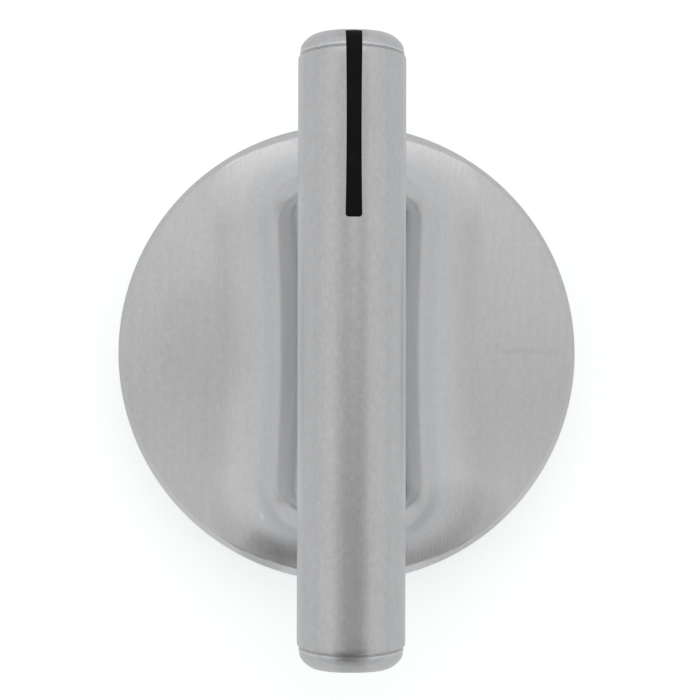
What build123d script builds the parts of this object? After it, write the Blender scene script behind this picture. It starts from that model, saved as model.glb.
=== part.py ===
from build123d import *
from math import radians, tan
import os

# Oven fan knob: a die-cast knob with a round grip bar across a flared disk, a black pointer inlay in
# the bar, and the plastic bush and leaf spring that hold the knob on a flatted control shaft.
# Millimetres. +Z points out of the appliance's panel and +Y along the bar towards the pointer.
# The origin is on the shaft axis, in the plane of the skirt's rear rim, on which the knob rests.

# Disk and skirt
DISK_DIAMETER = 45.0
SKIRT_HEIGHT = 6.5         # rear rim to the disk's face
SKIRT_WALL = 2.2           # wall round the rear recess
FACE_WALL = 2.6            # disk's face to the floor of the rear recess
RIM_BEVEL = 0.5            # edge between the disk's face and the skirt
RIM_CONE_RISE = 2.0        # how far the bevel's cone carries on above the face
REAR_CHAMFER = 0.3         # both edges of the rear rim
RECESS_CHAMFER = 0.8       # corner round the floor of the rear recess

# Grip bar
BAR_DIAMETER = 10.2
BAR_LENGTH = 60.0
BAR_RISE = 11.5            # disk's face to the bar's axis
BAR_END_ROUND = 2.45
SEAM_SETBACK = 1.7         # bar's end to the witness line, which is an arc about the shaft axis
SEAM_STEP = 0.06           # how far the bar's rounded ends lie below its brushed barrel

# Web between disk and bar, and its concave flare
WEB_LENGTH = 28.3          # this and the next three are taken at the height of the bar's axis
WEB_END_INSET = 0.35       # bar's side to the web's side, at the web's ends
WEB_WAIST_INSET = 1.05     # the same, halfway along
WEB_CORNER = 1.0
WEB_DRAFT = 10.0           # lean of the web's walls, which widens it towards the disk
FLARE_RADIUS = 8.5

# Pointer slot and its inlay
POINTER_LENGTH = 17.7      # from the bar's end
POINTER_WIDTH = 1.56       # at both ends of the slot
POINTER_WAIST = 1.4        # halfway along it
POINTER_DEPTH = 1.6        # bar's crest to the slot's floor
POINTER_CORNER = 0.3
INLAY_RECESS = 0.1         # bar's side to the inlay's surface

# Control shaft that the knob is pushed on to
SHAFT_DIAMETER = 6.0
SHAFT_FLAT = 4.5           # across the shaft, from its round side to its flat
SHAFT_CLEARANCE = 0.05     # round the shaft in the flatted bore
LEAD_IN_CLEARANCE = 0.25   # round the shaft in the bore's round mouth

# Shaft bush, pressed into a square socket in the hub
BUSH_WALL = 1.35           # round mouth to the bush's flat sides
BUSH_CORNER = 1.5
BUSH_LENGTH = 8.4          # with its flange
BUSH_RECESS = 0.5          # rear rim to the flange's face
FLANGE_THICKNESS = 1.2
FLANGE_LIP = 0.8           # flange's reach past the bush's corners
LEAD_IN_LENGTH = 3.0
MOUTH_CHAMFER = 0.4
BUSH_CLEARANCE = 0.05      # round the bush in its socket
SOCKET_END_GAP = 0.1       # bush's end to the socket's floor

# Leaf spring behind the bore's flat
SPRING_THICKNESS = 0.35
SPRING_WIDTH = 4.0
SPRING_BOW = 0.75
SPRING_PROUD = 0.15        # how far the leaf's crown stands into the bore
SPRING_CLEARANCE = 0.12    # round the leaf's edges in its pocket

# Hub, core and ribs behind the face
HUB_WALL = 1.6             # socket's corners to the hub's outside
CORE_WALL = 2.2            # between the cored slots and the web's ends, its sides and the bar
RIB_COUNT = 4
RIB_ANGLE = 45.0           # first rib, from the X axis
RIB_WIDTH = 1.6
RIB_RECESS = 2.0           # rear rim to the ribs' edges

disk_radius = DISK_DIAMETER / 2
recess_radius = disk_radius - SKIRT_WALL
recess_floor_z = SKIRT_HEIGHT - FACE_WALL

bar_radius = BAR_DIAMETER / 2
bar_end = BAR_LENGTH / 2
bar_axis_z = SKIRT_HEIGHT + BAR_RISE
bar_top_z = bar_axis_z + bar_radius

shaft_radius = SHAFT_DIAMETER / 2
bore_radius = shaft_radius + SHAFT_CLEARANCE
bore_flat_y = shaft_radius - SHAFT_FLAT - SHAFT_CLEARANCE
lead_in_radius = shaft_radius + LEAD_IN_CLEARANCE
lead_in_end_z = BUSH_RECESS + LEAD_IN_LENGTH

bush_side = 2 * (lead_in_radius + BUSH_WALL)
bush_reach = (bush_side / 2 - BUSH_CORNER) * 2**0.5 + BUSH_CORNER
bush_seat_z = BUSH_RECESS + FLANGE_THICKNESS
bush_end_z = BUSH_RECESS + BUSH_LENGTH
spring_back_y = bore_flat_y + SPRING_PROUD - SPRING_THICKNESS - SPRING_BOW
hub_radius = bush_reach + BUSH_CLEARANCE + HUB_WALL


def post(radius, low_z, high_z):
    """An upright cylinder on the shaft axis."""
    return extrude(Pos(0, 0, low_z) * Circle(radius), amount=high_z - low_z)


def round_bar(inset):
    """The grip bar with rounded ends, drawn in at its side."""
    bar = Pos(0, 0, bar_axis_z) * Rot(X=90) * Cylinder(bar_radius - inset, BAR_LENGTH)
    return fillet(bar.edges().filter_by(GeomType.CIRCLE), BAR_END_ROUND)


def grip_bar():
    """The bar: a full-size barrel between the witness lines, and rounded ends a small step below it."""
    barrel = round_bar(0) & post(bar_end - SEAM_SETBACK, 0, bar_top_z)
    return round_bar(SEAM_STEP) + barrel


def web_outline():
    """The web's plan under the bar: square ends, sides that draw in to a waist, rounded corners."""
    end_y = WEB_LENGTH / 2
    end_x = bar_radius - WEB_END_INSET
    waist_x = bar_radius - WEB_WAIST_INSET
    right = ThreePointArc((end_x, -end_y), (waist_x, 0), (end_x, end_y))
    left = ThreePointArc((-end_x, end_y), (-waist_x, 0), (-end_x, -end_y))
    outline = make_face([right, Line(right @ 1, left @ 0), left, Line(left @ 1, right @ 0)])
    return fillet(outline.vertices(), WEB_CORNER)


def turned_blank():
    """The round that trims the disk, with the rim's bevel.

    The bevel's cone carries on above the face, to trim the flare where it runs out past the rim.
    """
    cone_top = disk_radius - RIM_BEVEL - RIM_CONE_RISE
    corners = [
        (0, 0),
        (disk_radius, 0),
        (disk_radius, SKIRT_HEIGHT - RIM_BEVEL),
        (cone_top, SKIRT_HEIGHT + RIM_CONE_RISE),
        (cone_top, bar_axis_z),
        (0, bar_axis_z),
    ]
    return revolve(Plane.XZ * make_face(Polyline(corners, close=True)), Axis.Z)


def flared_disk():
    """Disk and drafted web with the concave flare between them.

    The flare is made on a wider plate, then trimmed to the disk, because at the web's ends it runs
    out past the disk's edge.
    """
    plate = post(disk_radius + WEB_LENGTH + FLARE_RADIUS, 0, SKIRT_HEIGHT)
    foot = offset(web_outline(), BAR_RISE * tan(radians(WEB_DRAFT)))
    web = extrude(Pos(0, 0, SKIRT_HEIGHT) * foot, BAR_RISE, taper=WEB_DRAFT)
    casting = plate + web
    face_edges = casting.edges().filter_by_position(Axis.Z, SKIRT_HEIGHT, SKIRT_HEIGHT)
    web_foot = face_edges.sort_by(SortBy.LENGTH)[:-1]
    return fillet(web_foot, FLARE_RADIUS) & turned_blank()


def rear_recess():
    """The hollow behind the face, with a bevel where its floor meets the skirt."""
    recess = post(recess_radius, 0, recess_floor_z)
    return chamfer(recess.edges().sort_by(Axis.Z)[-1], RECESS_CHAMFER)


def web_core():
    """Two slots that core out the web from behind, one each side of the hub."""
    length = WEB_LENGTH - 2 * CORE_WALL
    width = 2 * (bar_radius - WEB_WAIST_INSET - CORE_WALL)
    roof_z = bar_axis_z - bar_radius - CORE_WALL
    slot = extrude(SlotOverall(length, width, rotation=90), amount=roof_z)
    return slot - post(hub_radius, 0, roof_z)


def ribs():
    """Radial ribs from the hub to the skirt, sunk halfway into both walls."""
    inner = hub_radius - HUB_WALL / 2
    outer = recess_radius + SKIRT_WALL / 2
    rib = Box(outer - inner, RIB_WIDTH, recess_floor_z - RIB_RECESS)
    middle_z = (recess_floor_z + RIB_RECESS) / 2
    spots = PolarLocations((inner + outer) / 2, RIB_COUNT, RIB_ANGLE)
    return [Pos(0, 0, middle_z) * spot * rib for spot in spots]


def bush_socket():
    """The square socket that takes the bush."""
    side = bush_side + 2 * BUSH_CLEARANCE
    plan = RectangleRounded(side, side, BUSH_CORNER + BUSH_CLEARANCE)
    return extrude(plan, amount=bush_end_z + SOCKET_END_GAP)


def pointer_slot():
    """The slot in the bar's crest: open at the bar's end, a little waisted, with round inner corners."""
    outer, middle, inner = bar_end, bar_end - POINTER_LENGTH / 2, bar_end - POINTER_LENGTH
    end_x, waist_x = POINTER_WIDTH / 2, POINTER_WAIST / 2
    right = ThreePointArc((end_x, inner), (waist_x, middle), (end_x, outer))
    left = ThreePointArc((-end_x, outer), (-waist_x, middle), (-end_x, inner))
    plan = make_face([right, Line(right @ 1, left @ 0), left, Line(left @ 1, right @ 0)])
    plan = fillet(plan.vertices().group_by(Axis.Y)[0], POINTER_CORNER)
    return extrude(Pos(0, 0, bar_top_z - POINTER_DEPTH) * plan, amount=BAR_DIAMETER)


def knob_body():
    """The casting: skirt, disk, flare, web and bar in one piece, hollowed from behind."""
    body = flared_disk() - rear_recess() - web_core()
    body += post(hub_radius, bush_seat_z, recess_floor_z)
    body += ribs()
    body -= bush_socket()
    rear_edges = body.edges().filter_by_position(Axis.Z, 0, 0)
    body = chamfer(rear_edges, REAR_CHAMFER)
    return body + grip_bar() - pointer_slot()


def pointer_inlay():
    """The black filling of the pointer slot, a little below the bar's surface."""
    return pointer_slot() & round_bar(INLAY_RECESS)


def shaft_bush():
    """Flanged square bush with a round mouth, a flatted bore and a pocket for the leaf spring."""
    bush = post(bush_reach + FLANGE_LIP, BUSH_RECESS, bush_seat_z)
    plan = RectangleRounded(bush_side, bush_side, BUSH_CORNER)
    bush += extrude(Pos(0, 0, BUSH_RECESS) * plan, amount=BUSH_LENGTH)
    bush -= post(lead_in_radius, BUSH_RECESS, lead_in_end_z)
    half = Pos(0, bore_flat_y) * Rectangle(bush_side, bush_side, align=(Align.CENTER, Align.MIN))
    bore = Circle(bore_radius) & half
    bush -= extrude(Pos(0, 0, lead_in_end_z) * bore, amount=bush_end_z - lead_in_end_z)
    pocket = Box(
        SPRING_WIDTH + 2 * SPRING_CLEARANCE,
        -spring_back_y,
        bush_end_z - lead_in_end_z,
        align=(Align.CENTER, Align.MIN, Align.MIN),
    )
    bush -= Pos(0, spring_back_y, lead_in_end_z) * pocket
    mouth = bush.edges().filter_by_position(Axis.Z, BUSH_RECESS, BUSH_RECESS).sort_by(SortBy.LENGTH)[0]
    return chamfer(mouth, MOUTH_CHAMFER)


def shaft_spring():
    """Bowed leaf: its two ends bear on the pocket's back, and its crown presses on the shaft's flat."""
    end_y = spring_back_y + SPRING_THICKNESS / 2
    low_z = lead_in_end_z + SPRING_CLEARANCE
    high_z = bush_end_z - SPRING_CLEARANCE
    crown = (end_y + SPRING_BOW, (low_z + high_z) / 2)
    line = ThreePointArc((end_y, low_z), crown, (end_y, high_z))
    leaf = Plane.YZ * trace(line, SPRING_THICKNESS)
    return extrude(leaf, amount=SPRING_WIDTH / 2, both=True)


os.makedirs("parts", exist_ok=True)
for node in (knob_body, pointer_inlay, shaft_bush, shaft_spring):
    export_step(node(), f"parts/{node.__name__}.step")
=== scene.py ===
import math

import bpy
import numpy as np
from bpy.props import FloatProperty, FloatVectorProperty, PointerProperty
from mathutils import Matrix, Vector


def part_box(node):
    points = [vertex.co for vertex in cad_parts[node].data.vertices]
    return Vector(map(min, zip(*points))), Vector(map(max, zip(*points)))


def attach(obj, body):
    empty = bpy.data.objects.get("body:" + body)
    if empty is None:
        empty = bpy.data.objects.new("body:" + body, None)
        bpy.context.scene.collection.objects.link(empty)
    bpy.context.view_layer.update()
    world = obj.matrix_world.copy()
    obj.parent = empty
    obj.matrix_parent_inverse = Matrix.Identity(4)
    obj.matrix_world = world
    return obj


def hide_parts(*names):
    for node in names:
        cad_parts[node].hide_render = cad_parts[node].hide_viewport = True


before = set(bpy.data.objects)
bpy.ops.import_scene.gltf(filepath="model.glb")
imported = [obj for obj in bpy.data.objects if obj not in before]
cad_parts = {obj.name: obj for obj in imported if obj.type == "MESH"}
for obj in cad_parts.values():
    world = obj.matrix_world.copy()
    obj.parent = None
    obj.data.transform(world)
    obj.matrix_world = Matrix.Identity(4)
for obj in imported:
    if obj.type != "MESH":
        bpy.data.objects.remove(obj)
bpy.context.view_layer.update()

bl_info = {
    "name": "Oven fan knob",
    "version": (1, 0, 0),
    "blender": (4, 5, 0),
    "location": "3D View > Sidebar > Knob",
    "description": "Builds the finish of a satin oven knob round its packed solids",
    "category": "Object",
}

MM = 0.001
BODY_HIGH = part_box("knob_body")[1]
INLAY_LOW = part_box("pointer_inlay")[0]

# How finely the surfaces are divided
SIDE_STEPS = 40
CORNER_STEPS = 44
END_STEPS = 14
FLARE_STEPS = 40
FACE_STEPS = 14
RIM_STEPS = 5
RIM_EDGE_STEPS = 5
FLARE_SHARE = 0.8
BAR_COLUMNS = 192
BAR_ROUND_STEPS = 14
BAR_BARREL_STEPS = 24
CORE_ARC_STEPS = 24
SLOT_STEPS = 40
SLOT_CORNER_STEPS = 8

RIB_COUNT = 4
RIB_START = math.radians(45)
RIB_STEP = 2 * math.pi / RIB_COUNT
SHARP_ANGLE = math.radians(24)

# Groove of the bar's witness line: place in half widths, and share of its depth
SEAM_PROFILE = ((1.5, 0.0), (1.0, 0.15), (0.5, 0.9), (0.0, 1.0), (-0.5, 0.9), (-1.0, 0.15), (-1.5, 0.0))
PAST_SEAM = 2.0
PAST_SEAM_BEND = 0.6


def size(name, description, millimetres):
    """A length that a user may change, kept in metres."""
    return FloatProperty(
        name=name, description=description, default=millimetres * MM, unit="LENGTH", precision=5)


def share(name, description, default):
    """A plain number from 0 to 1."""
    return FloatProperty(
        name=name, description=description, default=default, min=0.0, max=1.0, subtype="FACTOR")


def colour(name, description, default):
    """A linear colour."""
    return FloatVectorProperty(name=name, description=description, default=default, subtype="COLOR", size=3)


class KnobCastingSizes(bpy.types.PropertyGroup):
    disk_radius: size("Disk radius", "Outside of the skirt", BODY_HIGH.x / MM)
    face_height: size("Face height", "Rear rim to the disk's face", 6.5)
    rim_bevel: size("Rim bevel", "Bevel between the disk's face and the skirt", 0.5)
    rim_edge: size("Rim edge", "Rounding between the bevel and the skirt", 0.15)
    rear_chamfer: size("Rear chamfer", "Both edges of the rear rim", 0.3)
    recess_radius: size("Recess radius", "Inside of the skirt", 20.3)
    recess_floor: size("Recess floor", "Rear rim to the floor of the recess", 3.9)
    recess_chamfer: size("Recess chamfer", "Corner round the recess floor", 0.8)
    web_length: size("Web length", "Web under the bar, along the bar", 28.3)
    web_end_inset: size("Web end inset", "Bar's side to the web's side, at the web's ends", 0.35)
    web_waist_inset: size("Web waist inset", "Bar's side to the web's side, halfway along", 1.05)
    web_corner: size("Web corner", "Radius of the web's upright corners", 1.0)
    web_draft: FloatProperty(
        name="Web draft", description="Lean of the web's walls", default=math.radians(10), subtype="ANGLE")
    flare_radius: size("Flare radius", "Concave flare between web and disk", 8.5)
    core_wall: size("Core wall", "Metal left round the cored slots", 2.2)
    hub_radius: size("Hub radius", "Outside of the hub", 7.53)
    hub_face: size("Hub face", "Rear rim to the hub's face", 1.7)
    socket_side: size("Socket side", "Across the square socket", 9.3)
    socket_corner: size("Socket corner", "Radius of the socket's corners", 1.55)
    socket_end: size("Socket end", "Rear rim to the socket's floor", 9.0)
    rib_width: size("Rib width", "Thickness of the four ribs", 1.6)
    rib_edge: size("Rib edge", "Rear rim to the ribs' edges", 2.0)


class KnobBarSizes(bpy.types.PropertyGroup):
    radius: size("Bar radius", "Round grip bar", 5.1)
    axis_height: size("Axis height", "Rear rim to the bar's axis", 18.0)
    half_length: size("Half length", "Middle of the bar to its end", BODY_HIGH.y / MM)
    end_round: size("End round", "Rounding of the bar's ends", 2.45)
    seam_setback: size("Seam setback", "Bar's end to the witness line", 1.7)
    seam_width: size("Seam width", "Witness line, from lip to lip", 0.2)
    seam_depth: size("Seam depth", "Depth of the witness line", 0.1)
    slot_end: size("Slot end", "Middle of the bar to the pointer slot's inner end", INLAY_LOW.y / MM)
    slot_floor: size("Slot floor", "Rear rim to the pointer slot's floor", INLAY_LOW.z / MM)
    slot_width: size("Slot width", "Pointer slot at its ends", 1.56)
    slot_waist: size("Slot waist", "Pointer slot halfway along", 1.4)
    slot_corner: size("Slot corner", "Radius of the slot's inner corners", 0.3)


class KnobFinish(bpy.types.PropertyGroup):
    metal: colour("Satin metal", "Reflection of the plated casting", (0.66, 0.66, 0.665))
    disk_roughness: share("Disk roughness", "Satin face of the disk", 0.24)
    flare_roughness: share("Flare roughness", "Smoother flare, which the brush hardly reaches", 0.13)
    bar_roughness: share("Bar roughness", "Brushed grip bar", 0.21)
    # Painted highlight: a pale bluish colour that the bar's sides are mixed towards, standing for the
    # reflection along them
    bar_side_highlight: colour("Bar side", "Paler metal along the bar's sides", (0.92, 0.96, 1.0))
    inlay: colour("Pointer black", "Paint in the pointer slot", (0.008, 0.008, 0.008))
    bush: colour("Bush plastic", "Moulded bush", (0.02, 0.02, 0.021))
    spring: colour("Spring steel", "Leaf spring", (0.42, 0.41, 0.39))


class KnobStage(bpy.types.PropertyGroup):
    camera_place: FloatVectorProperty(
        name="Camera", description="Where the camera stands", size=3, subtype="TRANSLATION", unit="LENGTH",
        default=(-9.31 * MM, -4.58 * MM, 274.08 * MM))
    camera_target: FloatVectorProperty(
        name="Target", description="What the camera looks at", size=3, subtype="TRANSLATION", unit="LENGTH",
        default=(0.13 * MM, 0.215 * MM, 10.0 * MM))
    camera_roll: FloatProperty(
        name="Roll", description="Turn about the line of sight", default=math.radians(0.13), subtype="ANGLE")
    camera_angle: FloatProperty(
        name="Angle", description="Field of view", default=math.radians(14.656), subtype="ANGLE")
    floor_colour: colour("Floor", "Pale floor", (0.68, 0.68, 0.68))
    floor_glow: share("Floor glow", "White that the floor adds where it is seen directly", 0.6)
    floor_tint: colour("Floor tint", "Faint tint of that white", (0.97, 1.0, 1.0))
    floor_mirrored: share("Mirrored floor", "Part of that white which the metal mirrors", 0.38)
    floor_size: size("Floor size", "Half the floor's width", 3000.0)


def polar(radius, angle):
    """Points on a circle: radius times cosine and sine of the angle."""
    return np.stack([radius * np.cos(angle), radius * np.sin(angle)], -1)


def mirrored_loop(quarter, flips):
    """A closed loop from a quarter that runs from the X axis to the Y axis, mirrored about both.

    flips gives, for each column of the quarter, whether it changes sign across the Y axis and the X axis.
    """
    across_y, across_x = np.array(flips).T
    second = quarter[-2::-1] * across_y
    third = quarter[1:] * across_y * across_x
    fourth = quarter[-2:0:-1] * across_x
    return np.concatenate([quarter, second, third, fourth])


def web_loop(casting, bar):
    """The web's plan as points and outward directions.

    A quarter is a concave side arc, whose centre lies outside on the X axis, then a corner arc tangent to
    it, then half of the straight end.
    """
    end_y = casting.web_length / 2
    waist_x = bar.radius - casting.web_waist_inset
    bow = casting.web_waist_inset - casting.web_end_inset
    side_radius = (end_y**2 + bow**2) / (2 * bow)
    side_x = waist_x + side_radius
    corner = casting.web_corner
    corner_y = end_y - corner
    turn = math.asin(corner_y / (side_radius + corner))
    corner_x = side_x - (side_radius + corner) * math.cos(turn)

    along_side = np.linspace(0, turn, SIDE_STEPS)
    side = np.array([side_x, 0]) - polar(side_radius, -along_side)
    side_out = polar(1, -along_side)
    round_corner = np.linspace(-turn, math.pi / 2, CORNER_STEPS)[1:]
    corner_out = polar(1, round_corner)
    corner_points = np.array([corner_x, corner_y]) + corner * corner_out
    end_x = np.linspace(corner_x, 0, END_STEPS)[1:]
    end = np.stack([end_x, np.full_like(end_x, end_y)], -1)
    end_out = np.stack([np.zeros_like(end_x), np.ones_like(end_x)], -1)
    quarter = np.concatenate([
        np.concatenate([side, corner_points, end]),
        np.concatenate([side_out, corner_out, end_out]),
    ], axis=1)
    loop = mirrored_loop(quarter, [(-1, 1), (1, -1), (-1, 1), (1, -1)])
    return loop[:, :2], loop[:, 2:]


def rounded_square(angle, side, corner):
    """Distance from the middle of a rounded square to its outline, at each angle.

    Folded to the first half quadrant, the outline is the flat side, or the corner circle past its end.
    """
    folded = np.abs((angle + math.pi / 4) % (math.pi / 2) - math.pi / 4)
    flat = side / 2 / np.cos(folded)
    centre = side / 2 - corner
    reach = centre * math.sqrt(2)
    off = folded - math.pi / 4
    curved = reach * np.cos(off) + np.sqrt(np.maximum(corner**2 - (reach * np.sin(off)) ** 2, 0))
    return np.where(flat * np.sin(folded) > centre, curved, flat)


def ring(points, height):
    """One row of the grid: plan points at a height, or at one height each."""
    return np.column_stack([points, np.broadcast_to(height, len(points))])


def flared_disk_grid(casting, bar):
    """Rows of the casting without its bar, from the web's top to the socket's floor.

    Each column starts at a point of the web's plan and runs outwards along its normal. The web's wall leans
    by its draft, then the flare's height is an arc of the distance, down to the flat face. The rim's bevel
    is a cone about the shaft axis, and the lower of the two heights counts. A small arc leads into the skirt.
    Behind the rim the columns keep their angle about the shaft axis.
    """
    points, outwards = web_loop(casting, bar)
    flare, draft = casting.flare_radius, casting.web_draft
    reach = flare * math.cos(draft)
    lean = (bar.axis_height - casting.face_height - flare * (1 - math.sin(draft))) * math.tan(draft)
    skirt_top = casting.face_height - casting.rim_bevel
    edge = casting.rim_edge

    def distance_to(radius):
        along = np.sum(points * outwards, 1)
        return np.sqrt(along**2 - np.sum(points**2, 1) + radius**2) - along

    def row(distance):
        plan = points + distance[:, None] * outwards
        left = np.clip(lean + reach - distance, 0, reach)
        height = casting.face_height + flare - np.sqrt(flare**2 - left**2)
        bevel = skirt_top + casting.disk_radius - np.linalg.norm(plan, axis=1)
        return ring(plan, np.minimum(height, bevel))

    rows = [ring(points * share_out, bar.axis_height) for share_out in (0.5, 1.0)]
    face_radius = casting.disk_radius - casting.rim_bevel
    to_rim = distance_to(face_radius)
    part = np.minimum(lean + reach, FLARE_SHARE * to_rim)
    lowest = np.arcsin(np.clip(math.cos(draft) - (part - lean) / flare, 0, 1))
    for step in np.linspace(0, 1, FLARE_STEPS):
        slope = math.pi / 2 - draft + (lowest - math.pi / 2 + draft) * step
        rows.append(row(lean + flare * (math.cos(draft) - np.sin(slope))))
    for step in np.linspace(0, 1, FACE_STEPS)[1:]:
        rows.append(row(part + (to_rim - part) * step))
    arc_start = casting.disk_radius - edge * (1 - math.cos(math.pi / 4))
    for radius in np.linspace(face_radius, arc_start, RIM_STEPS)[1:]:
        rows.append(row(distance_to(radius)))
    arc_height = skirt_top + edge * (1 - math.sqrt(2))
    for turn in np.linspace(math.pi / 4, 0, RIM_EDGE_STEPS)[1:]:
        at = distance_to(casting.disk_radius - edge * (1 - math.cos(turn)))
        rows.append(ring(points + at[:, None] * outwards, arc_height + edge * math.sin(turn)))
    angle = np.arctan2(rows[-1][:, 1], rows[-1][:, 0])
    rear = [
        (casting.disk_radius, casting.rear_chamfer),
        (casting.disk_radius - casting.rear_chamfer, 0),
        (casting.recess_radius + casting.rear_chamfer, 0),
        (casting.recess_radius, casting.rear_chamfer),
        (casting.recess_radius, casting.recess_floor - casting.recess_chamfer),
        (casting.recess_radius - casting.recess_chamfer, casting.recess_floor),
        (casting.hub_radius, casting.recess_floor),
        (casting.hub_radius, casting.hub_face),
    ]
    rows += [ring(polar(radius, angle), height) for radius, height in rear]
    square = rounded_square(angle, casting.socket_side, casting.socket_corner)
    socket = square[:, None] * polar(1, angle)
    rows += [ring(socket, casting.hub_face), ring(socket, casting.socket_end)]
    return np.array(rows), (0, 0, bar.axis_height), (0, 0, casting.socket_end)


def grip_bar_grid(bar):
    """Rows of the bar, a profile turned about its axis, from the pointer's end to the tail.

    Half of the profile is the flat end, the rounded edge, the witness line and the barrel. The rows near
    the witness line are bent, so that in plan it is an arc about the shaft axis.
    """
    turn = np.linspace(0, 2 * math.pi, BAR_COLUMNS, endpoint=False)
    edge = np.linspace(0, math.pi / 2, BAR_ROUND_STEPS)
    flat = bar.radius - bar.end_round
    seam_y = bar.half_length - bar.seam_setback
    half = bar.seam_width / 2
    profile = [(bar.half_length, flat * 0.5, 0.0)]
    round_y = bar.half_length - bar.end_round * (1 - np.cos(edge))
    round_r = flat + bar.end_round * np.sin(edge)
    before = round_y > seam_y + SEAM_PROFILE[0][0] * half
    profile += [(y, r, 0.0) for y, r in zip(round_y[before], round_r[before])]

    def skin(y):
        rise = np.clip(y - bar.half_length + bar.end_round, 0, bar.end_round)
        return flat + math.sqrt(bar.end_round**2 - rise**2)

    for offset, sink in SEAM_PROFILE:
        seam_row = seam_y + offset * half
        profile.append((seam_row, skin(seam_row) - bar.seam_depth * sink, 1.0))
    after = round_y < seam_y - PAST_SEAM * half
    profile += [(y, r, PAST_SEAM_BEND) for y, r in zip(round_y[after], round_r[after])]
    barrel = np.linspace(bar.half_length - bar.end_round, 0, BAR_BARREL_STEPS)[1:]
    profile += [(y, bar.radius, 0.0) for y in barrel]
    y, r, bend = np.array(profile).T
    y, r, bend = (np.concatenate([a, sign * a[-2::-1]]) for a, sign in ((y, -1), (r, 1), (bend, -1)))
    sideways = np.outer(r, np.sin(turn))
    bow = seam_y - np.sqrt(seam_y**2 - sideways**2)
    grid = np.stack([
        sideways,
        y[:, None] - bend[:, None] * bow,
        bar.axis_height + np.outer(r, np.cos(turn)),
    ], -1)
    return grid, (0, bar.half_length, bar.axis_height), (0, -bar.half_length, bar.axis_height)


def closed_mesh(name, grid, first_pole, last_pole):
    """A mesh from a grid whose columns close in a ring, with a fan to a pole at each end."""
    rows, columns, _ = grid.shape
    points = np.concatenate([grid.reshape(-1, 3), [first_pole], [last_pole]])
    index = np.arange(rows * columns).reshape(rows, columns)
    right = np.roll(index, -1, axis=1)
    quads = np.stack([index[:-1], index[1:], right[1:], right[:-1]], -1).reshape(-1, 4)
    top = np.full(columns, rows * columns)
    first = np.stack([top, index[0], right[0]], -1)
    last = np.stack([top + 1, right[-1], index[-1]], -1)
    mesh = bpy.data.meshes.new(name)
    mesh.from_pydata(points, [], quads.tolist() + first.tolist() + last.tolist())
    mesh.validate()
    return mesh


def prism(name, outline, low, high):
    """An upright solid: a closed plan outline, counter-clockwise, between two heights."""
    count = len(outline)
    points = np.concatenate([ring(outline, low), ring(outline, high)])
    lower = np.arange(count)
    after = np.roll(lower, -1)
    sides = np.stack([lower, after, after + count, lower + count], -1)
    mesh = bpy.data.meshes.new(name)
    mesh.from_pydata(points, [], sides.tolist() + [lower[::-1].tolist(), (lower + count).tolist()])
    return mesh


def core_outline(casting, bar, side):
    """Plan of one cored slot: an arc round the hub, two straight sides and a round end."""
    half = bar.radius - casting.web_waist_inset - casting.core_wall
    end_y = casting.web_length / 2 - casting.core_wall - half
    spread = math.asin(half / casting.hub_radius)
    hub = polar(casting.hub_radius, math.pi / 2 + np.linspace(spread, -spread, CORE_ARC_STEPS))
    end = np.array([0, end_y]) + polar(half, np.linspace(0, math.pi, CORE_ARC_STEPS))
    return side * np.concatenate([hub, end])


def rib_outline(casting, angle):
    """Plan of one rib: a rectangle from inside the hub's wall to inside the skirt's."""
    inner = casting.hub_radius - casting.rib_width / 2
    outer = casting.recess_radius + casting.rib_width / 2
    half = casting.rib_width / 2
    corners = np.array([(inner, -half), (outer, -half), (outer, half), (inner, half)])
    across, along = polar(1, np.array([angle, angle + math.pi / 2]))
    return corners[:, :1] * across + corners[:, 1:] * along


def slot_outline(bar):
    """Plan of the pointer slot: half its width is a shallow arc of the place along the bar, with a small
    quarter circle taken off at the inner corners. It runs out past the bar's end."""
    length = bar.half_length - bar.slot_end
    bow = (bar.slot_width - bar.slot_waist) / 2
    radius = ((length / 2) ** 2 + bow**2) / (2 * bow)
    corner = bar.slot_corner
    turn = np.linspace(0, math.pi / 2, SLOT_CORNER_STEPS, endpoint=False)
    y = np.concatenate([
        bar.slot_end + corner * (1 - np.cos(turn)),
        np.linspace(bar.slot_end + corner, bar.half_length + bar.end_round, SLOT_STEPS),
    ])
    middle = bar.slot_end + length / 2
    half = bar.slot_waist / 2 + radius - np.sqrt(radius**2 - (y - middle) ** 2)
    half[:len(turn)] -= corner * (1 - np.sin(turn))
    right = np.stack([half, y], -1)
    return np.concatenate([right, right[::-1] * (-1, 1)])


def temporary(mesh):
    """An object that lasts only while a piece is put together."""
    holder = bpy.data.objects.new(mesh.name, mesh)
    bpy.context.scene.collection.objects.link(holder)
    return holder


def combined(base, added, cut):
    """One mesh: base with other closed meshes added to it, and others cut out of it."""
    holder = temporary(base)
    operands = [("UNION", temporary(mesh)) for mesh in added]
    operands += [("DIFFERENCE", temporary(mesh)) for mesh in cut]
    for operation, operand in operands:
        step = holder.modifiers.new(operand.name, "BOOLEAN")
        step.operation = operation
        step.solver = "EXACT"
        step.object = operand
    evaluated = holder.evaluated_get(bpy.context.evaluated_depsgraph_get())
    mesh = bpy.data.meshes.new_from_object(evaluated)
    for spare in [holder] + [operand for _, operand in operands]:
        data = spare.data
        bpy.data.objects.remove(spare)
        bpy.data.meshes.remove(data)
    return mesh


def piece(name, mesh, material):
    """An object of the knob, at the origin, that rides on its one body."""
    made = bpy.data.objects.new(name, mesh)
    mesh.name = name
    bpy.context.scene.collection.objects.link(made)
    mesh.materials.clear()
    mesh.materials.append(material)
    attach(made, "root")
    return made


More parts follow.
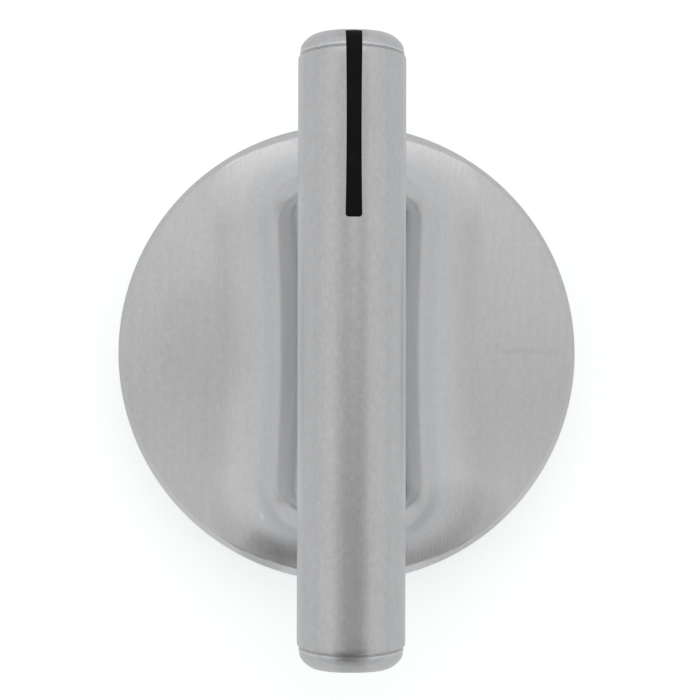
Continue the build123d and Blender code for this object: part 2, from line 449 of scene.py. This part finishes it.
class Value:
    """A number that changes over a surface, so that shader maths can be written as an expression."""

    def __init__(self, finish, socket):
        self.finish = finish
        self.socket = socket

    def _with(self, operation, *operands):
        return self.finish.node("ShaderNodeMath", {"operation": operation}, dict(enumerate(operands)))

    def __add__(self, other):
        return self._with("ADD", self, other)

    def __radd__(self, other):
        return self._with("ADD", other, self)

    def __sub__(self, other):
        return self._with("SUBTRACT", self, other)

    def __rsub__(self, other):
        return self._with("SUBTRACT", other, self)

    def __mul__(self, other):
        return self._with("MULTIPLY", self, other)

    def __rmul__(self, other):
        return self._with("MULTIPLY", other, self)

    def __abs__(self):
        return self._with("ABSOLUTE", self)

    def exp(self):
        return self._with("EXPONENT", self)


class Finish:
    """The node tree of one material or of the world."""

    def __init__(self, owner):
        owner.use_nodes = True
        self.tree = owner.node_tree
        self.tree.nodes.clear()
        is_world = isinstance(owner, bpy.types.World)
        self.output = "ShaderNodeOutputWorld" if is_world else "ShaderNodeOutputMaterial"

    def node(self, kind, settings=None, sockets=None, out=0):
        """A node of a type, with its settings, then the values or links of its sockets."""
        made = self.tree.nodes.new(kind)
        for name, value in (settings or {}).items():
            setattr(made, name, value)
        for name, value in (sockets or {}).items():
            if isinstance(value, Value):
                self.tree.links.new(value.socket, made.inputs[name])
            else:
                made.inputs[name].default_value = value
        return None if out is None else Value(self, made.outputs[out])

    def range(self, value, low, high, to_low=0.0, to_high=1.0):
        """A smooth step: to_low below low, to_high above high."""
        return self.node("ShaderNodeMapRange", {"interpolation_type": "SMOOTHSTEP"}, {
            "Value": value, "From Min": low, "From Max": high, "To Min": to_low, "To Max": to_high})

    def past(self, squared, near, far):
        """0 where a squared distance is within near, 1 past far."""
        return self.range(squared, near**2, far**2)

    def within(self, squared, near, far):
        """1 where a squared distance is within near, 0 past far."""
        return self.range(squared, near**2, far**2, 1.0, 0.0)

    def noise(self, place, scale, detail=2.0, roughness=0.5):
        """Noise about 0.5, at a place scaled along each axis."""
        at = self.node("ShaderNodeVectorMath", {"operation": "MULTIPLY"}, {0: place, 1: scale})
        return self.node("ShaderNodeTexNoise", None, {
            "Vector": at, "Scale": 1.0, "Detail": detail, "Roughness": roughness})

    def mix(self, factor, first, second):
        """One colour changing to another."""
        return self.node("ShaderNodeMix", {"data_type": "RGBA"}, {0: factor, 6: first, 7: second}, out=2)

    def place(self):
        """The object's own coordinates in millimetres, whole and as three numbers."""
        where = self.node("ShaderNodeTexCoord", None, None, out="Object")
        where = self.node("ShaderNodeVectorMath", {"operation": "SCALE"}, {0: where, "Scale": 1 / MM})
        return where, [self.node("ShaderNodeSeparateXYZ", None, {0: where}, out=axis) for axis in range(3)]

    def surface(self, shader):
        """Link a shader to the tree's output."""
        self.node(self.output, None, {"Surface": shader}, out=None)


def rgba(colour_value, factor=1.0):
    """A colour property as four numbers, made lighter or darker."""
    return (*(channel * factor for channel in colour_value), 1.0)


# Noise of the satin metal: repeats per millimetre along X, Y and Z, then detail and roughness
METAL_NOISE = {
    "fine": ((7.0, 0.12, 7.0), 3.0, 0.6),
    "broad": ((1.6, 0.035, 1.6), 2.0, 0.5),
    "grain": ((2.4, 1.6, 2.4), 3.0, 0.7),
    "clouds": ((0.09, 0.05, 0.09), 2.0, 0.5),
    "blotches": ((0.4, 0.2, 0.4), 3.0, 0.6),
}

# Where zones of the satin metal start and end, in millimetres
BAR_SKIN = (0.05, 0.25)
BAR_SIDE_HIGHLIGHT_AND_ROUGHNESS = (4.47, 5.0)
CREST_X = -0.2
CREST_REACH = (0.32, 1.9)
CREST_ALONG = (-20.0, 12.0)
SIDE_HIGHLIGHT_OVER_WEB = (13.4, 17.3)
FRONT_HEIGHT = (4.5, 5.5)
FLARE_HEIGHT = (6.5, 9.0)
WALL_HIGHLIGHT_HEIGHT = (11.5, 14.5)
LOW_DISK_HIGHLIGHT_ALONG = (-17.0, -3.0)
LOW_DISK_HIGHLIGHT_REACH = (13.8, 20.0)
WEB_CORNER_SHADE_AT = (4.4, 12.2)
WEB_CORNER_SHADE_REACH = (2.35, 3.08)
WEB_CORNER_SHADE_START = (0.3, 1.6)
WEB_CORNER_SHADE_ACROSS = (2.1, 3.1)
WEB_CORNER_SHADE_ALONG = (2.0, 3.0)

# Painted shade on the disk: middle, stretch along the bar, and the distances where each starts and ends
DISK_PAINTED_SHADES = {
    "face_painted_shade": ((-13.8, 1.0), 0.8, (1.73, 6.32)),
    "right_painted_shade": ((11.0, -17.5), 1.0, (2.0, 6.0)),
    "left_painted_shade": ((-8.3, -20.0), 1.0, (1.0, 3.0)),
}

# Marks: painted shade and painted highlight beside the witness line, from its middle, then a scratch and a
# painted highlight spot on the disk
SEAM_SHADE_PLACES = (-0.23, -0.1, 0.0, 0.09)
SEAM_HIGHLIGHT_PLACES = (0.04, 0.125, 0.25, 0.37)
SCRATCH_Y = 0.2
SCRATCH_HALF_WIDTH = 0.346
SCRATCH_WANDER = 2.0
SCRATCH_STARTS = (14.6, 15.6)
SCRATCH_ENDS = (20.0, 21.4)
HIGHLIGHT_SPOT_AT = (-8.4, -16.0)
HIGHLIGHT_SPOT_SLANT = 0.3
HIGHLIGHT_SPOT_REACH = 0.55

# How much lighter or darker than its plain colour the metal is in each zone and mark: painted highlight on
# the web's wall, the lower disk, the witness line's edge and the spot; painted shade at the web's ends, in
# the disk's clouds, in the witness line and, with wear, along the crest
TONES = {
    "bar": -0.045,
    "crest_wear_and_shade": -0.16,
    "wall": 0.5,
    "low_disk_highlight": 0.17,
    # web_corner: painted shade at the web's ends
    "web_corner": -0.2,
    "face_painted_shade": -0.06,
    "right_painted_shade": -0.15,
    "left_painted_shade": -0.22,
    "seam_painted_shade": -0.15,
    "seam_painted_highlight": 0.15,
    "scratch": -0.08,
    "spot": 0.12,
}
DARKEST, LIGHTEST = 0.6, 1.5


def metal_zones(finish, x, y, z, bar):
    """Zones of the casting by name, each from 0 to 1, most of them places of painted highlight or painted
    shade. Those of the disk leave out the rear.
    """
    above_axis = z - bar.axis_height / MM
    on_bar = finish.within(x * x + above_axis * above_axis, *(bar.radius / MM + gap for gap in BAR_SKIN))
    off_bar = 1.0 - on_bar
    front = finish.range(z, *FRONT_HEIGHT)
    flare = finish.range(z, *FLARE_HEIGHT)
    off_crest = x - CREST_X
    # Darker band along the bar's crest, strongest towards the tail: partly wear, partly painted shade for a
    # dark reflection
    crest_wear_and_shade = finish.within(off_crest * off_crest, *CREST_REACH) * finish.range(y, *CREST_ALONG, 1.0, 0.7)
    # Painted highlight on the lower disk, towards the tail end, strongest near the rim
    low_disk_highlight = finish.range(y, *LOW_DISK_HIGHLIGHT_ALONG, 1.0, 0.0)
    low_disk_highlight = low_disk_highlight * (0.3 + 0.7 * finish.past(x * x + y * y, *LOW_DISK_HIGHLIGHT_REACH))
    # Painted shade at the four ends of the web, squaring the ends of the dark reflections beside the bar
    end_x, end_y = abs(x) - WEB_CORNER_SHADE_AT[0], abs(y) - WEB_CORNER_SHADE_AT[1]
    corner = finish.past(end_x * end_x + end_y * end_y, *WEB_CORNER_SHADE_REACH)
    corner = corner * finish.range(end_y, *WEB_CORNER_SHADE_START)
    corner = corner * finish.range(end_x, *WEB_CORNER_SHADE_ACROSS, 1.0, 0.0)
    corner = corner * finish.range(end_y, *WEB_CORNER_SHADE_ALONG, 1.0, 0.0)
    zones = {
        "bar": on_bar,
        "front": front,
        "flare": flare,
        # The bar's sides: a painted highlight in the colour, and rougher metal
        "side": on_bar * finish.past(x * x, *BAR_SIDE_HIGHLIGHT_AND_ROUGHNESS),
        "side_highlight_over_web": finish.within(y * y, *SIDE_HIGHLIGHT_OVER_WEB),
        "crest_wear_and_shade": on_bar * crest_wear_and_shade,
        # Painted highlight on the web's steep upper wall beside the bar, up to half as light again
        "wall": finish.range(z, *WALL_HIGHLIGHT_HEIGHT) * off_bar,
        "low_disk_highlight": front * low_disk_highlight * (1.0 - flare),
        "web_corner": front * corner * off_bar,
    }
    # Painted shade in soft patches on the disk's face
    for name, (middle, stretch, reach) in DISK_PAINTED_SHADES.items():
        off_x, off_y = x - middle[0], stretch * (y - middle[1])
        zones[name] = front * finish.within(off_x * off_x + off_y * off_y, *reach)
    return zones


def metal_marks(finish, x, y, zones, grain, blotches, bar):
    """Marks of the casting by name, each from 0 to 1: the witness line's painted shade and painted highlight,
    a scratch, a painted highlight spot.
    """
    marks = {}
    seam = (bar.half_length - bar.seam_setback) / MM
    from_shaft = x * x + y * y
    # Painted shade in the witness line, and a painted highlight on its outer edge
    for name, offsets in (("seam_painted_shade", SEAM_SHADE_PLACES), ("seam_painted_highlight", SEAM_HIGHLIGHT_PLACES)):
        places = [seam + offset for offset in offsets]
        line = finish.past(from_shaft, *places[:2]) * finish.within(from_shaft, *places[2:])
        marks[name] = zones["bar"] * line
    scratch_y = y - SCRATCH_Y - SCRATCH_WANDER * blotches
    scratch = finish.within(scratch_y * scratch_y, 0.0, SCRATCH_HALF_WIDTH) * (0.6 + 2.5 * grain)
    scratch = scratch * finish.range(x, *SCRATCH_STARTS) * finish.range(x, *SCRATCH_ENDS, 1.0, 0.0)
    # Painted highlight: a small slanted light spot on the lower left of the disk
    spot_y = y - HIGHLIGHT_SPOT_AT[1]
    spot_x = 2.0 * (x - HIGHLIGHT_SPOT_AT[0] + HIGHLIGHT_SPOT_SLANT * spot_y)
    marks["scratch"] = zones["front"] * scratch
    marks["spot"] = zones["front"] * finish.within(spot_x * spot_x + spot_y * spot_y, 0.0, HIGHLIGHT_SPOT_REACH)
    return marks


def satin_metal(finish_props, bar):
    """Plated metal, brushed along the bar: long fine streaks and grain, zones of painted highlight and
    painted shade, and a few marks.

    level is how much lighter or darker the metal is than its plain colour, added up zone by zone.
    """
    material = bpy.data.materials.new("satin_metal")
    finish = Finish(material)
    place, (x, y, z) = finish.place()
    fine, broad, grain, clouds, blotches = (
        finish.noise(place, *settings) - 0.5 for settings in METAL_NOISE.values())
    zones = metal_zones(finish, x, y, z, bar)
    zones.update(metal_marks(finish, x, y, zones, grain, blotches, bar))
    on_bar, on_flare, side = zones["bar"], zones["flare"], zones["side"]

    level = 1.0 + 0.06 * fine + 0.035 * broad + 0.05 * clouds
    level = level + grain * (0.17 + 0.08 * on_bar) + blotches * (0.04 + 0.08 * on_bar)
    for name, tone in TONES.items():
        level = level + tone * zones[name]
    share_light = (level - DARKEST) * (1 / (LIGHTEST - DARKEST))
    base = finish.mix(share_light, rgba(finish_props.metal, DARKEST), rgba(finish_props.metal, LIGHTEST))
    # Painted highlight: the bar's sides are mixed towards the pale bluish colour, most where the bar is over
    # the web
    base = finish.mix(side * (0.35 + 0.5 * zones["side_highlight_over_web"]), base, rgba(finish_props.bar_side_highlight))

    roughness = finish_props.disk_roughness + 0.04 * fine + 0.05 * clouds
    roughness = roughness + (finish_props.flare_roughness - finish_props.disk_roughness) * on_flare
    roughness = roughness + (finish_props.bar_roughness - finish_props.flare_roughness) * on_bar
    roughness = roughness + 0.22 * side
    brushed = fine * (1.0 - 0.85 * on_flare + 0.25 * on_bar)
    bump = finish.node("ShaderNodeBump", None, {"Strength": 0.9, "Distance": 0.02 * MM, "Height": brushed})
    finish.surface(finish.node("ShaderNodeBsdfPrincipled", None, {
        "Base Color": base, "Metallic": 1.0, "Roughness": roughness, "Normal": bump}))
    return material


def pointer_black(finish_props):
    """Matt black filling with a faint grain."""
    material = bpy.data.materials.new("pointer_black")
    finish = Finish(material)
    place, _ = finish.place()
    grain = finish.noise(place, (9.0, 9.0, 9.0), 3.0, 0.6)
    dust = finish.noise(place, (1.2, 0.5, 1.2), 2.0, 0.5)
    base = finish.mix(dust, rgba(finish_props.inlay, 0.7), rgba(finish_props.inlay, 1.6))
    bump = finish.node("ShaderNodeBump", None, {"Strength": 0.3, "Distance": 0.02 * MM, "Height": grain})
    finish.surface(finish.node("ShaderNodeBsdfPrincipled", None, {
        "Base Color": base, "Roughness": 0.45 + 0.2 * grain, "Specular IOR Level": 0.05, "Normal": bump}))
    return material


def bush_plastic(finish_props):
    """Moulded black plastic with a fine spark-eroded grain and faint flow clouds."""
    material = bpy.data.materials.new("bush_plastic")
    finish = Finish(material)
    place, _ = finish.place()
    grain = finish.noise(place, (5.0, 5.0, 5.0), 4.0, 0.6)
    clouds = finish.noise(place, (0.4, 0.4, 0.4), 2.0, 0.5)
    base = finish.mix(clouds, rgba(finish_props.bush, 0.8), rgba(finish_props.bush, 1.5))
    bump = finish.node("ShaderNodeBump", None, {"Strength": 0.25, "Distance": 0.03 * MM, "Height": grain})
    finish.surface(finish.node("ShaderNodeBsdfPrincipled", None, {
        "Base Color": base, "Roughness": 0.42 + 0.2 * grain, "Normal": bump}))
    return material


def spring_steel(finish_props):
    """Rolled steel strip with lines along the leaf."""
    material = bpy.data.materials.new("spring_steel")
    finish = Finish(material)
    place, _ = finish.place()
    lines = finish.noise(place, (12.0, 12.0, 0.4), 3.0, 0.6)
    base = finish.mix(lines, rgba(finish_props.spring, 0.85), rgba(finish_props.spring, 1.15))
    bump = finish.node("ShaderNodeBump", None, {"Strength": 0.1, "Distance": 0.01 * MM, "Height": lines})
    finish.surface(finish.node("ShaderNodeBsdfPrincipled", None, {
        "Base Color": base, "Metallic": 1.0, "Roughness": 0.25 + 0.15 * lines, "Normal": bump}))
    return material


def dress(node_name, material):
    """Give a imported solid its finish."""
    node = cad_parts[node_name]
    for slot in node.material_slots:
        slot.material = material


def white_floor(stage):
    """Pale floor that keeps the shadow, and is whiter where it is seen, less so where it is mirrored."""
    material = bpy.data.materials.new("pale_floor")
    finish = Finish(material)
    seen, mirrored, through = (
        finish.node("ShaderNodeLightPath", None, None, out=name)
        for name in ("Is Camera Ray", "Is Glossy Ray", "Is Transmission Ray"))
    shown = seen + stage.floor_mirrored * (mirrored + through)
    paper = finish.node("ShaderNodeBsdfDiffuse", None, {"Color": rgba(stage.floor_colour)})
    glow = finish.node("ShaderNodeEmission", None, {
        "Color": rgba(stage.floor_tint), "Strength": stage.floor_glow})
    white = finish.node("ShaderNodeAddShader", None, {0: paper, 1: glow})
    finish.surface(finish.node("ShaderNodeMixShader", None, {0: shown, 1: paper, 2: white}))
    return material


# Light: level of the dome, level of the horizon below it and how much that grows along Y, the heights
# where one turns to the other, and patches of the dome as direction, tightness and how much lighter or darker
DOME_LEVEL = 0.71
HORIZON_LEVEL = 0.67
HORIZON_LEAN = 0.1
HORIZON_EDGE = (0.22, 0.38)
PATCHES = {
    "window": ((0.04, 0.26, 0.96), 45.0, 0.66),
    "panel": ((-0.04, 0.48, 0.87), 7.0, 0.45),
    "overhead": ((0.0, 0.0, 1.0), 10.0, -0.38),
    "dark_end": ((-0.06, -0.78, 0.62), 10.0, -0.45),
    "left_shade": ((-0.36, -0.55, 0.75), 30.0, -0.2),
    "right_shade": ((0.34, -0.42, 0.84), 22.0, -0.22),
}
COOL = (0.98, 1.0, 1.01, 1.0)
WARM = (1.02, 1.0, 1.01, 1.0)
WARM_EDGE = (0.4, 0.9)
CLIP_NEAR = 10 * MM
CLIP_FAR = 100.0


def studio_light():
    """Soft light from all round: a dome with lighter and darker patches, above a plain, cooler horizon."""
    world = bpy.data.worlds.new("studio_light")
    bpy.context.scene.world = world
    finish = Finish(world)
    towards = finish.node("ShaderNodeTexCoord", None, None, out="Generated")
    along, up = (finish.node("ShaderNodeSeparateXYZ", None, {0: towards}, out=axis) for axis in (1, 2))
    dome = DOME_LEVEL
    for direction, tightness, level in PATCHES.values():
        near = finish.node(
            "ShaderNodeVectorMath", {"operation": "DOT_PRODUCT"}, {0: towards, 1: direction}, out=1)
        dome = dome + level * (tightness * (near - 1)).exp()
    horizon = HORIZON_LEVEL + HORIZON_LEAN * along
    level = horizon + finish.range(up, *HORIZON_EDGE) * (dome - horizon)
    tint = finish.mix(finish.range(up, *WARM_EDGE), COOL, WARM)
    light = finish.node("ShaderNodeVectorMath", {"operation": "SCALE"}, {0: tint, "Scale": level})
    finish.surface(finish.node("ShaderNodeBackground", None, {"Color": light, "Strength": 1.0}))


def camera(stage):
    """The camera above the knob, turned to look at the target, then rolled about its line of sight."""
    lens = bpy.data.cameras.new("camera")
    lens.sensor_fit = "HORIZONTAL"
    lens.angle = stage.camera_angle
    lens.clip_start = CLIP_NEAR
    lens.clip_end = CLIP_FAR
    eye = bpy.data.objects.new("camera", lens)
    bpy.context.scene.collection.objects.link(eye)
    back = (Vector(stage.camera_place) - Vector(stage.camera_target)).normalized()
    right = Vector((0, 1, 0)).cross(back).normalized()
    turned = Matrix((right, back.cross(right), back)).transposed().to_4x4()
    roll = Matrix.Rotation(stage.camera_roll, 4, "Z")
    eye.matrix_world = Matrix.Translation(stage.camera_place) @ turned @ roll
    bpy.context.scene.camera = eye


class KNOB_OT_casting(bpy.types.Operator):
    """Make the satin casting: flared disk, web and grip bar, with its rear recess, ribs and slots"""

    bl_idname = "knob.casting"
    bl_label = "Casting"

    def execute(self, context):
        casting, bar = context.scene.knob_casting, context.scene.knob_bar
        disk = closed_mesh("flared_disk", *flared_disk_grid(casting, bar))
        added = [closed_mesh("grip_bar", *grip_bar_grid(bar))]
        added += [
            prism(f"rib_{count}", rib_outline(casting, RIB_START + count * RIB_STEP),
                  casting.rib_edge, casting.recess_floor + casting.rib_width)
            for count in range(RIB_COUNT)
        ]
        roof = bar.axis_height - bar.radius - casting.core_wall
        cut = [
            prism(f"core_{side}", core_outline(casting, bar, side), casting.hub_face, roof)
            for side in (1, -1)
        ]
        cut.append(prism("pointer_slot", slot_outline(bar), bar.slot_floor, bar.axis_height + 2 * bar.radius))
        mesh = combined(disk, added, cut)
        mesh.shade_smooth()
        mesh.set_sharp_from_angle(angle=SHARP_ANGLE)
        made = piece("knob_casting", mesh, satin_metal(context.scene.knob_finish, bar))
        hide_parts("knob_body")
        return {"FINISHED"}


class KNOB_OT_fittings(bpy.types.Operator):
    """Finish the pointer's filling, the shaft bush and its spring"""

    bl_idname = "knob.fittings"
    bl_label = "Inlay, bush and spring"

    def execute(self, context):
        finish = context.scene.knob_finish
        dress("pointer_inlay", pointer_black(finish))
        dress("shaft_bush", bush_plastic(finish))
        dress("shaft_spring", spring_steel(finish))
        return {"FINISHED"}


class KNOB_OT_stage(bpy.types.Operator):
    """Set up the floor, the soft light and the camera"""

    bl_idname = "knob.stage"
    bl_label = "Stage"

    def execute(self, context):
        stage = context.scene.knob_stage
        half = stage.floor_size
        outline = half * np.array([(-1, -1), (1, -1), (1, 1), (-1, 1)])
        mesh = bpy.data.meshes.new("floor")
        mesh.from_pydata(ring(outline, 0.0), [], [range(4)])
        mesh.materials.append(white_floor(stage))
        floor = bpy.data.objects.new("floor", mesh)
        context.scene.collection.objects.link(floor)
        studio_light()
        camera(stage)
        context.scene.view_settings.view_transform = "Standard"
        return {"FINISHED"}


class KNOB_PT_sidebar(bpy.types.Panel):
    """Lists the knob's pieces and its stage"""

    bl_idname = "KNOB_PT_sidebar"
    bl_label = "Oven fan knob"
    bl_space_type = "VIEW_3D"
    bl_region_type = "UI"
    bl_category = "Knob"

    def draw(self, context):
        for operator in OPERATORS:
            self.layout.operator(operator.bl_idname)


GROUPS = {
    "knob_casting": KnobCastingSizes,
    "knob_bar": KnobBarSizes,
    "knob_finish": KnobFinish,
    "knob_stage": KnobStage,
}
OPERATORS = (KNOB_OT_casting, KNOB_OT_fittings, KNOB_OT_stage)


def register():
    for kind in (*GROUPS.values(), *OPERATORS, KNOB_PT_sidebar):
        bpy.utils.register_class(kind)
    for name, group in GROUPS.items():
        setattr(bpy.types.Scene, name, PointerProperty(type=group))


def unregister():
    for name in GROUPS:
        delattr(bpy.types.Scene, name)
    for kind in (KNOB_PT_sidebar, *reversed(OPERATORS), *reversed(GROUPS.values())):
        bpy.utils.unregister_class(kind)


def main():
    register()
    bpy.ops.knob.casting()
    bpy.ops.knob.fittings()
    bpy.ops.knob.stage()


if __name__ == "__main__":
    main()
